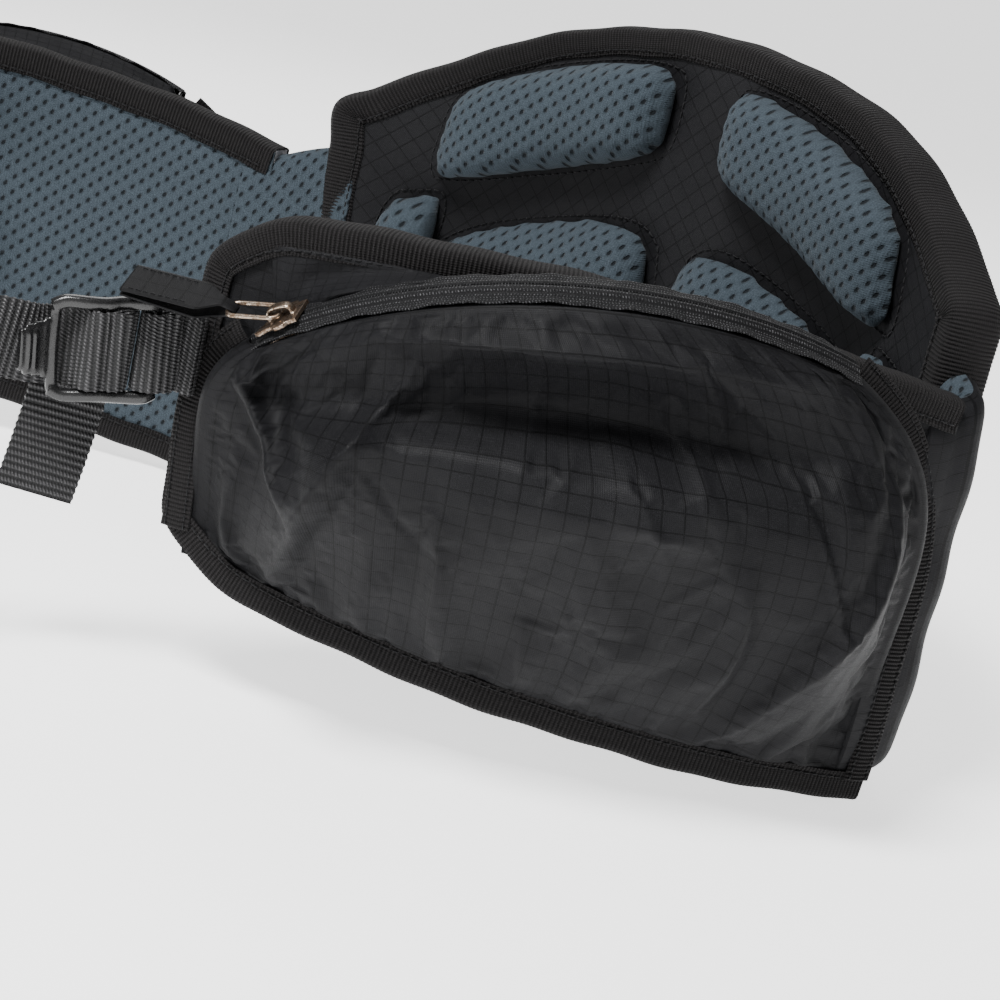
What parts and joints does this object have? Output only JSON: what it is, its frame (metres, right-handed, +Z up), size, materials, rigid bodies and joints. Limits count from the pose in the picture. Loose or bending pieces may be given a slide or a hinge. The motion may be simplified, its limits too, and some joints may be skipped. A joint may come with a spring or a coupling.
{
  "type": "waist pack",
  "caption": "Padded waist pack with a lumbar pad, two folding wings that each carry a zipped pocket, ladder-lock adjusters and a side-release buckle.",
  "frame": {"origin": "middle of the bounding box in plan, on the surface that the pack stands on", "axes": "+Z up; -X towards the wearer's front; -Y towards the wearer's left"},
  "size_m": [0.3592, 0.5571, 0.2282],
  "materials": {
    "ripstop": "coated nylon ripstop, slight sheen",
    "grosgrain": "ribbed binding tape",
    "air_mesh": "blue-grey spacer mesh with oval holes",
    "foam": "closed-cell foam, stated as fabric",
    "frame_sheet": "stiffening sheet",
    "zip_tape": "woven zip tape",
    "zip_coil": "nylon coil",
    "webbing": "25 mm ribbed webbing",
    "buckle_plastic": "satin moulded acetal",
    "antique_metal": "antique nickel-bronze finish"
  },
  "bodies": {
    "buckle_female_body": {"buckle_female": "buckle_plastic"},
    "buckle_male_body": {"buckle_male": "buckle_plastic"},
    "buckle_prong_lower_body": {"buckle_prong_lower": "buckle_plastic"},
    "buckle_prong_upper_body": {"buckle_prong_upper": "buckle_plastic"},
    "left_ladder_lock_body": {"left_front_strap": "webbing", "left_ladder_lock": "buckle_plastic"},
    "lumbar": {"left_hinge_roll": "ripstop", "lumbar_edge_binding": "grosgrain", "lumbar_foam": "foam", "lumbar_frame_sheet": "frame_sheet", "lumbar_front_panel": "ripstop", "lumbar_lower_pad_left": "air_mesh", "lumbar_lower_pad_right": "air_mesh", "lumbar_rear_cover": "ripstop", "lumbar_side_roll_left": "air_mesh", "lumbar_side_roll_right": "air_mesh", "lumbar_upper_pad_left": "air_mesh", "lumbar_upper_pad_right": "air_mesh", "right_hinge_roll": "ripstop"},
    "left_wing": {"left_pocket_front_binding": "grosgrain", "left_pocket_gusset": "ripstop", "left_pocket_panel": "ripstop", "left_pocket_rear_binding": "grosgrain", "left_tip_webbing": "webbing", "left_wing_edge_binding": "grosgrain", "left_wing_foam": "foam", "left_wing_inner_mesh": "air_mesh", "left_wing_outer_shell": "ripstop", "left_zip_coil_lower": "zip_coil", "left_zip_coil_upper": "zip_coil", "left_zip_tape_lower": "zip_tape", "left_zip_tape_upper": "zip_tape"},
    "left_zip_pull_body": {"left_zip_pull": "antique_metal"},
    "left_zip_tab_body": {"left_zip_pull_tab": "ripstop"},
    "left_zip_slider_body": {"left_zip_slider": "antique_metal"},
    "right_ladder_lock_body": {"right_front_strap": "webbing", "right_ladder_lock": "buckle_plastic"},
    "right_wing": {"right_pocket_front_binding": "grosgrain", "right_pocket_gusset": "ripstop", "right_pocket_panel": "ripstop", "right_pocket_rear_binding": "grosgrain", "right_tip_webbing": "webbing", "right_wing_edge_binding": "grosgrain", "right_wing_foam": "foam", "right_wing_inner_mesh": "air_mesh", "right_wing_outer_shell": "ripstop", "right_zip_coil_lower": "zip_coil", "right_zip_coil_upper": "zip_coil", "right_zip_tape_lower": "zip_tape", "right_zip_tape_upper": "zip_tape"},
    "right_zip_pull_body": {"right_zip_pull": "antique_metal"},
    "right_zip_tab_body": {"right_zip_pull_tab": "ripstop"},
    "right_zip_slider_body": {"right_zip_slider": "antique_metal"}
  },
  "joints": [
    {"name": "left_wing_fold", "type": "hinge", "parent": "lumbar", "child": "left_wing", "pos_m": [0.11801, -0.26257, 0.0011], "axis": [0, 0, 1], "range_deg": [0, 60]},
    {"name": "right_wing_fold", "type": "hinge", "parent": "lumbar", "child": "right_wing", "pos_m": [0.11801, 0.05387, 0.0011], "axis": [0, 0, 1], "range_deg": [-15, 45]},
    {"name": "left_zip_travel", "type": "hinge", "parent": "left_wing", "child": "left_zip_slider_body", "pos_m": [0.06396, -0.1483, 0.0613], "axis": [0.4685, 0.5385, 0.7004], "range_deg": [0, 70]},
    {"name": "left_zip_pull_swing", "type": "hinge", "parent": "left_zip_slider_body", "child": "left_zip_pull_body", "pos_m": [-0.06058, -0.12547, 0.12976], "axis": [0.7929, 0.424, 0.4377], "range_deg": [-3, 130]},
    {"name": "left_zip_tab_swing", "type": "hinge", "parent": "left_zip_pull_body", "child": "left_zip_tab_body", "pos_m": [-0.06692, -0.11007, 0.12634], "axis": [0.7929, 0.424, 0.4377], "range_deg": [-3, 48]},
    {"name": "left_ladder_lock_tilt", "type": "hinge", "parent": "left_wing", "child": "left_ladder_lock_body", "pos_m": [-0.07058, -0.08465, 0.10516], "axis": [-0.0905, 0.0523, 0.9945], "range_deg": [-20, 20]},
    {"name": "right_zip_travel", "type": "hinge", "parent": "right_wing", "child": "right_zip_slider_body", "pos_m": [0.00106, 0.10186, 0.0613], "axis": [0.5132, 0.496, -0.7004], "range_deg": [0, 70]},
    {"name": "right_zip_pull_swing", "type": "hinge", "parent": "right_zip_slider_body", "child": "right_zip_pull_body", "pos_m": [-0.02825, 0.22503, 0.12976], "axis": [0.3819, 0.814, -0.4377], "range_deg": [-3, 130]},
    {"name": "right_zip_tab_swing", "type": "hinge", "parent": "right_zip_pull_body", "child": "right_zip_tab_body", "pos_m": [-0.04396, 0.23056, 0.12634], "axis": [0.3819, 0.814, -0.4377], "range_deg": [-3, 48]},
    {"name": "right_ladder_lock_tilt", "type": "hinge", "parent": "right_wing", "child": "right_ladder_lock_body", "pos_m": [-0.06954, 0.23288, 0.10516], "axis": [-0.0569, 0.0877, 0.9945], "range_deg": [-6, 5]},
    {"name": "female_buckle_tilt", "type": "hinge", "parent": "left_ladder_lock_body", "child": "buckle_female_body", "pos_m": [-0.13731, -0.04843, 0.1002], "axis": [-0.0905, 0.0523, 0.9945], "range_deg": [-30, 30]},
    {"name": "male_buckle_tilt", "type": "hinge", "parent": "right_ladder_lock_body", "child": "buckle_male_body", "pos_m": [-0.00859, 0.16126, 0.1191], "axis": [0, 0, 1], "range_deg": [-3, 9]},
    {"name": "upper_prong_squeeze", "type": "hinge", "parent": "buckle_male_body", "child": "buckle_prong_upper_body", "pos_m": [0.00622, 0.15231, 0.1296], "axis": [0.5174, 0.8557, 0], "range_deg": [0, 5], "stiffness_Nm_per_rad": 0.3},
    {"name": "lower_prong_squeeze", "type": "hinge", "parent": "buckle_male_body", "child": "buckle_prong_lower_body", "pos_m": [0.00622, 0.15231, 0.1086], "axis": [-0.5174, -0.8557, 0], "range_deg": [0, 5], "stiffness_Nm_per_rad": 0.3}
  ]
}
